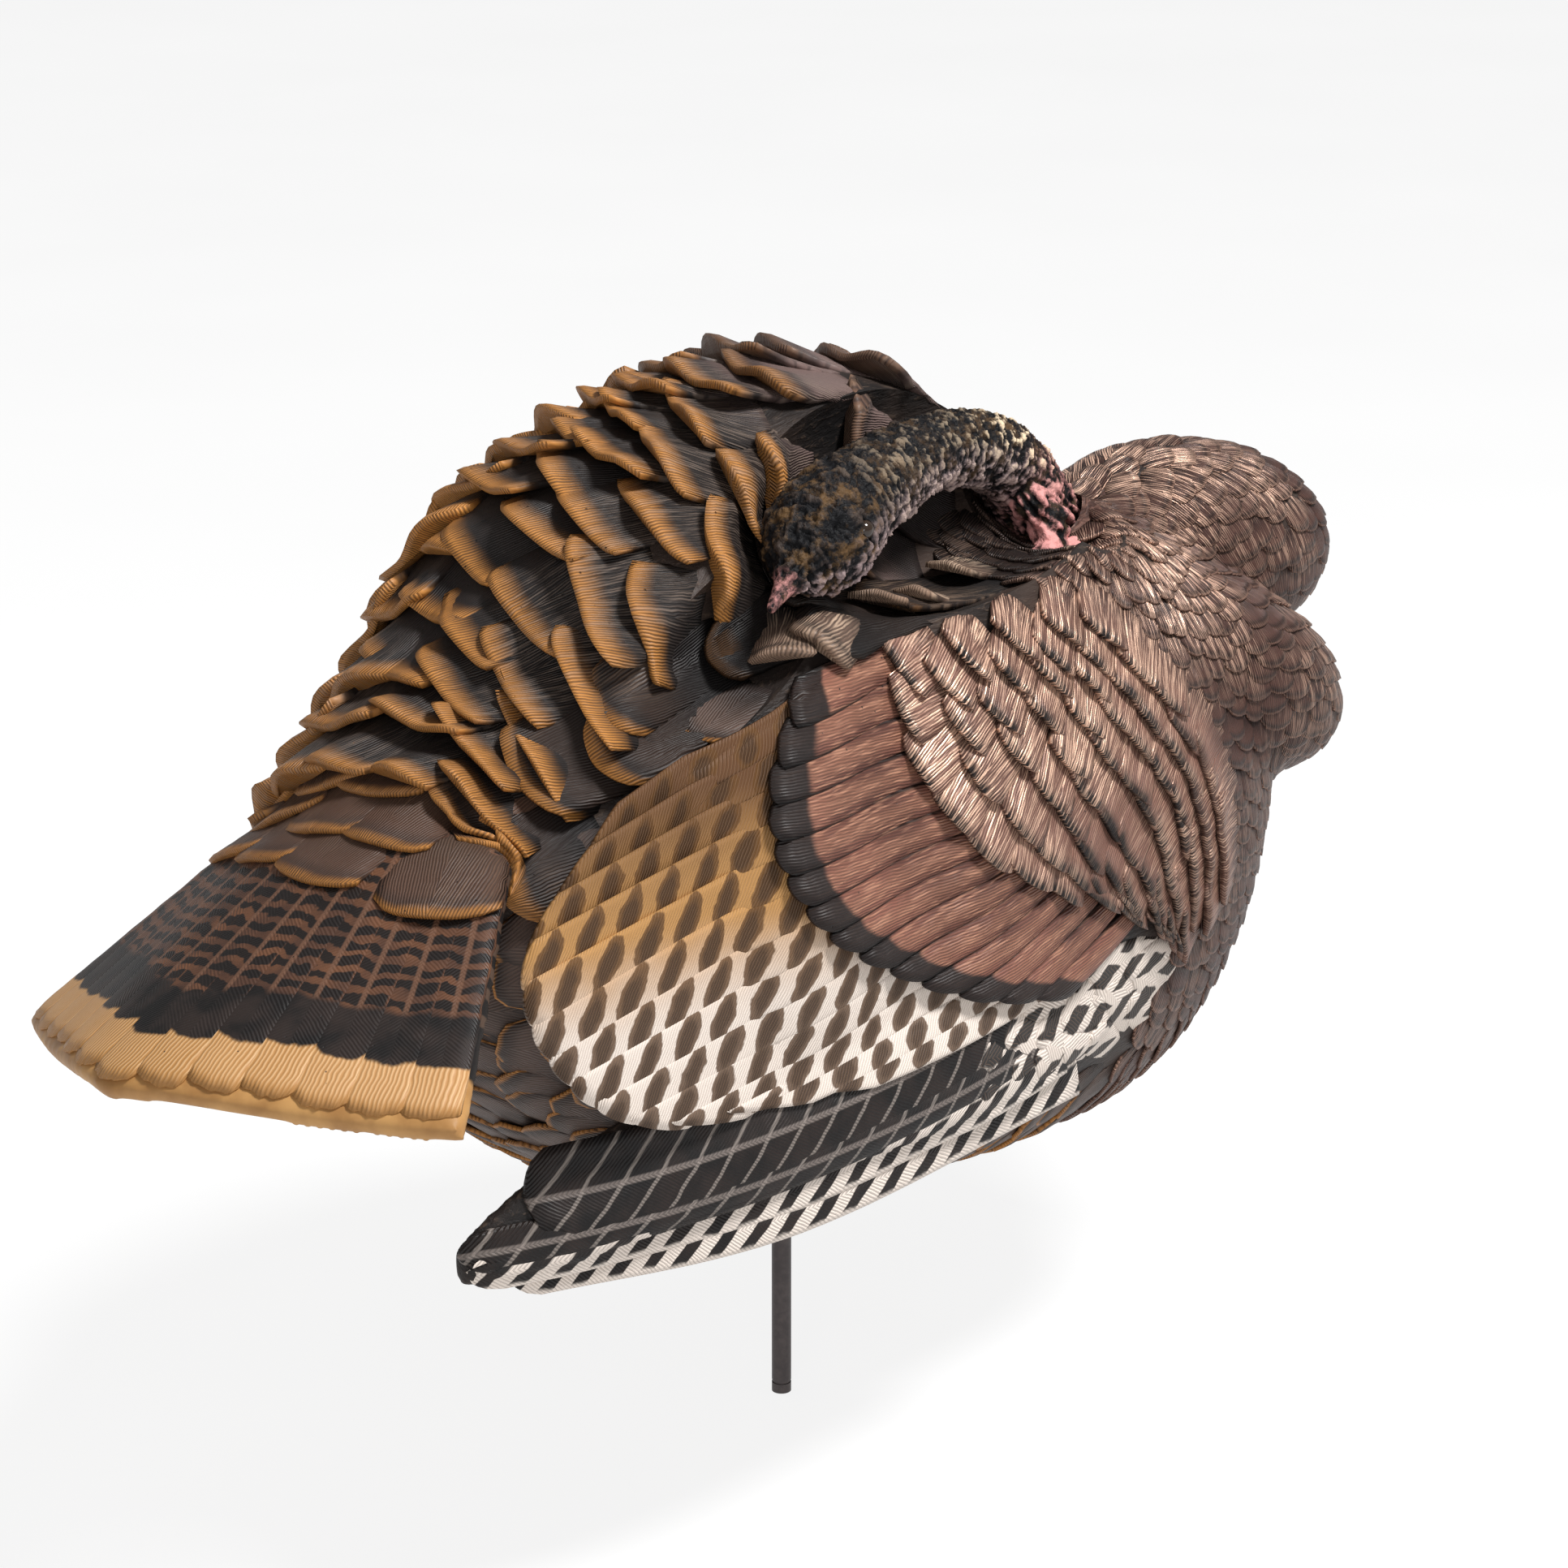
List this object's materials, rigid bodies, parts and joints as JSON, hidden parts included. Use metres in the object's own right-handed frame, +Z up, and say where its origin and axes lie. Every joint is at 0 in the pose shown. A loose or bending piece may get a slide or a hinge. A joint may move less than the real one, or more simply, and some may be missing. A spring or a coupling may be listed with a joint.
{
  "type": "turkey decoy",
  "caption": "Preening hen turkey decoy: hollow feathered body with plug-in tail and wing tips, pull-off head and neck, on a round ground stake with a collar.",
  "frame": {"origin": "on the stake's axis at ground level", "axes": "+X towards the breast, +Y towards the bird's left, +Z up along the stake"},
  "size_m": [0.6349, 0.2655, 0.6157],
  "materials": {
    "body_skin": "satin, painted feather relief",
    "wing_skin": "satin, painted feather relief",
    "tail_skin": "satin, painted feather relief",
    "head_skin": "satin, painted skin and bristles",
    "eye_gloss": "gloss",
    "black_plastic": "satin",
    "zinc_steel": "satin",
    "plug_rubber": "matte",
    "washer_nylon": "satin",
    "stake_steel": "satin"
  },
  "bodies": {
    "stake": {"stake_rod": "stake_steel"},
    "collar": {"stake_collar": "black_plastic", "limiter_peg": "zinc_steel"},
    "screw": {"collar_screw": "black_plastic"},
    "washer": {"thrust_washer": "washer_nylon"},
    "decoy": {"body_shell": "body_skin", "tail_fan": "tail_skin", "right_wing_tip": "wing_skin", "left_wing_tip": "wing_skin", "wing_dowels": "black_plastic", "tail_screws": "zinc_steel", "neck_socket": "black_plastic", "stake_sleeve": "black_plastic", "sleeve_cap": "black_plastic", "belly_flange": "black_plastic", "flange_screws": "zinc_steel", "drain_plug": "plug_rubber"},
    "head": {"head_neck": "head_skin", "neck_post": "black_plastic", "post_screw": "zinc_steel", "left_eye": "eye_gloss", "right_eye": "eye_gloss"}
  },
  "joints": [
    {"name": "collar_height", "type": "slide", "parent": "stake", "child": "collar", "axis": [0, 0, 1], "range_m": [-0.03, 0.02]},
    {"name": "collar_screw_turn", "type": "hinge", "parent": "collar", "child": "screw", "pos_m": [0, 0, 0.0985], "axis": [1, 0, 0], "range_deg": [0, 360]},
    {"name": "decoy_swivel", "type": "hinge", "parent": "collar", "child": "washer", "pos_m": [0, 0, 0.1], "axis": [0, 0, 1], "range_deg": [-45, 45]},
    {"name": "decoy_lift", "type": "slide", "parent": "washer", "child": "decoy", "axis": [0, 0, 1], "range_m": [0, 0.22]},
    {"name": "head_pull", "type": "slide", "parent": "decoy", "child": "head", "axis": [-0.6194, -0.2498, 0.7443], "range_m": [0, 0.05]}
  ]
}
